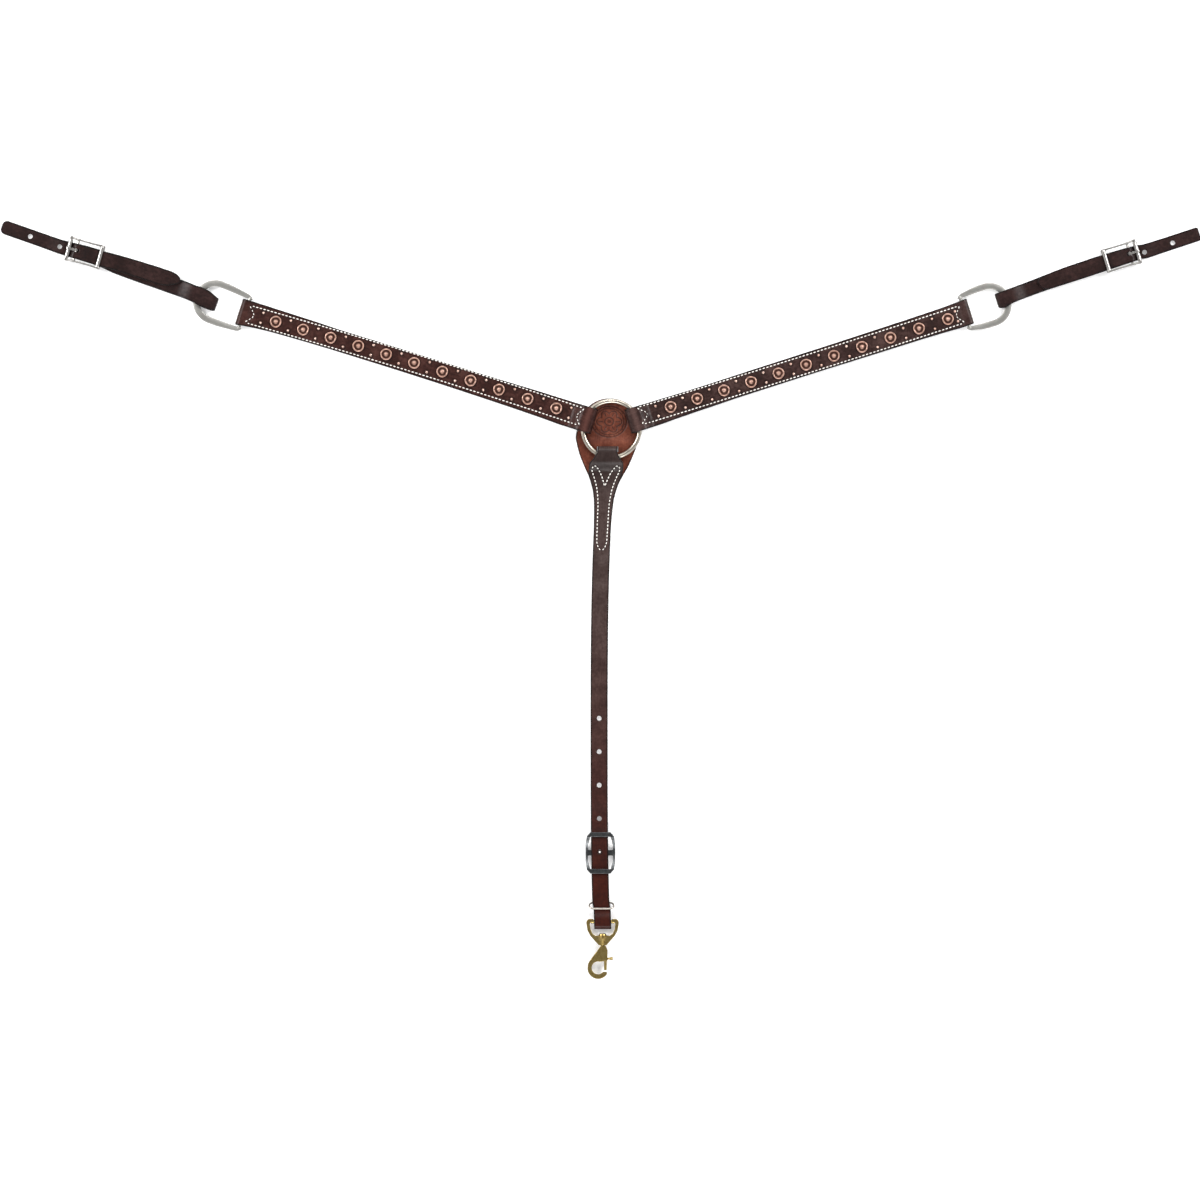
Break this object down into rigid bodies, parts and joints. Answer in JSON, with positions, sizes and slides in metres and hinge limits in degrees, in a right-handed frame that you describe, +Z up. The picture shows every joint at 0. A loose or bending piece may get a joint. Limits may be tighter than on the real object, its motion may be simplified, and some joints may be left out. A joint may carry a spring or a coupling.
{
  "type": "western breast collar",
  "caption": "Y-shaped leather breast collar with a centre ring, studded breast straps, dees, buckled tug straps and a girth strap ending in a bolt snap.",
  "frame": {"origin": "on the surface it lies on, under the middle of the centre ring", "axes": "+X across the horse towards the wearer's view right, +Y away from the girth strap, +Z up, out of the studded face"},
  "size_m": [1.6801, 1.0607, 0.0174],
  "materials": {
    "collar_leather": "dark chocolate bridle leather, burnished black edges",
    "girth_leather": "reddish brown harness leather, waxed",
    "tug_leather": "dark brown harness leather, waxed",
    "safe_leather": "russet skirting leather, tooled",
    "lining_leather": "flesh side, dyed dark brown",
    "thread": "waxed cream harness thread",
    "copper": "antiqued copper plate, polished on the high points",
    "spot_metal": "dark copper plate, polished domes",
    "nickel": "polished nickel plate",
    "dee_steel": "satin stainless steel",
    "buckle_steel": "polished stainless steel",
    "gunmetal": "dark stainless steel, worn bright on the bars",
    "keeper_wire": "bright steel wire",
    "brass": "antiqued solid brass",
    "spring_steel": "bright spring wire"
  },
  "bodies": {
    "girth": {"girth_strap": "girth_leather", "centre_safe": "safe_leather", "girth_stitching": "thread", "conway_frame": "gunmetal", "conway_stud": "buckle_steel"},
    "ring": {"centre_ring": "nickel"},
    "left_arm": {"left_breast_strap": "collar_leather", "left_breast_lining": "lining_leather", "left_studs": "copper", "left_spots": "spot_metal", "left_stitching": "thread"},
    "right_arm": {"right_breast_strap": "collar_leather", "right_breast_lining": "lining_leather", "right_studs": "copper", "right_spots": "spot_metal", "right_stitching": "thread"},
    "left_dee_link": {"left_dee": "dee_steel"},
    "right_dee_link": {"right_dee": "dee_steel"},
    "left_tug": {"left_tug_strap": "tug_leather", "left_buckle_frame": "buckle_steel"},
    "right_tug": {"right_tug_strap": "tug_leather", "right_buckle_frame": "buckle_steel"},
    "left_tongue": {"left_buckle_tongue": "buckle_steel"},
    "right_tongue": {"right_buckle_tongue": "buckle_steel"},
    "left_roller": {"left_buckle_roller": "buckle_steel"},
    "right_roller": {"right_buckle_roller": "buckle_steel"},
    "keeper": {"wire_keeper": "keeper_wire"},
    "eye": {"snap_eye": "brass"},
    "hook": {"snap_hook": "brass", "snap_swivel_cap": "brass", "snap_spring": "spring_steel"},
    "bolt": {"snap_bolt": "brass", "snap_thumb_knob": "brass"}
  },
  "joints": [
    {"name": "ring_flip", "type": "hinge", "parent": "girth", "child": "ring", "pos_m": [0, -0.0385, 0.00965], "axis": [1, 0, 0], "range_deg": [0, 18]},
    {"name": "left_arm_swing", "type": "hinge", "parent": "ring", "child": "left_arm", "pos_m": [0, 0, 0.00965], "axis": [0, 0, 1], "range_deg": [-30, 12]},
    {"name": "right_arm_swing", "type": "hinge", "parent": "ring", "child": "right_arm", "pos_m": [0, 0, 0.00965], "axis": [0, 0, 1], "range_deg": [-12, 30]},
    {"name": "left_dee_fold", "type": "hinge", "parent": "left_arm", "child": "left_dee_link", "pos_m": [-0.51353, 0.16211, 0.0056], "axis": [0.3633, 0.9317, 0], "range_deg": [-90, 120]},
    {"name": "right_dee_fold", "type": "hinge", "parent": "right_arm", "child": "right_dee_link", "pos_m": [0.4948, 0.16329, 0.0056], "axis": [0.3007, -0.9537, 0], "range_deg": [-90, 120]},
    {"name": "left_tug_swing", "type": "hinge", "parent": "left_dee_link", "child": "left_tug", "pos_m": [-0.55415, 0.17794, 0.0056], "axis": [0, 0, 1], "range_deg": [-15, 15]},
    {"name": "right_tug_swing", "type": "hinge", "parent": "right_dee_link", "child": "right_tug", "pos_m": [0.52923, 0.17415, 0.0056], "axis": [0, 0, 1], "range_deg": [-15, 15]},
    {"name": "left_tongue_lift", "type": "hinge", "parent": "left_tug", "child": "left_tongue", "pos_m": [-0.74864, 0.25014, 0.0099], "axis": [0.2723, 0.9622, 0], "range_deg": [0, 110]},
    {"name": "right_tongue_lift", "type": "hinge", "parent": "right_tug", "child": "right_tongue", "pos_m": [0.72535, 0.24548, 0.0099], "axis": [0.2924, -0.9563, 0], "range_deg": [0, 110]},
    {"name": "left_roller_spin", "type": "hinge", "parent": "left_tug", "child": "left_roller", "pos_m": [-0.75903, 0.25308, 0.0084], "axis": [0.2723, 0.9622, 0], "continuous": true},
    {"name": "right_roller_spin", "type": "hinge", "parent": "right_tug", "child": "right_roller", "pos_m": [0.73568, 0.24864, 0.0084], "axis": [0.2924, -0.9563, 0], "continuous": true},
    {"name": "keeper_slide", "type": "slide", "parent": "girth", "child": "keeper", "axis": [0, 1, 0], "range_m": [-0.003, 0.018]},
    {"name": "eye_fold", "type": "hinge", "parent": "girth", "child": "eye", "pos_m": [-0.0122, -0.689, 0.006], "axis": [-1, 0, 0], "range_deg": [-90, 90]},
    {"name": "hook_swivel", "type": "hinge", "parent": "eye", "child": "hook", "pos_m": [-0.0122, -0.716, 0.006], "axis": [0, 1, 0], "continuous": true},
    {"name": "bolt_slide", "type": "slide", "parent": "hook", "child": "bolt", "axis": [0, 1, 0], "range_m": [0, 0.008], "stiffness_N_per_m": 250, "springref_m": -0.004, "deforming": ["snap_spring"]}
  ]
}
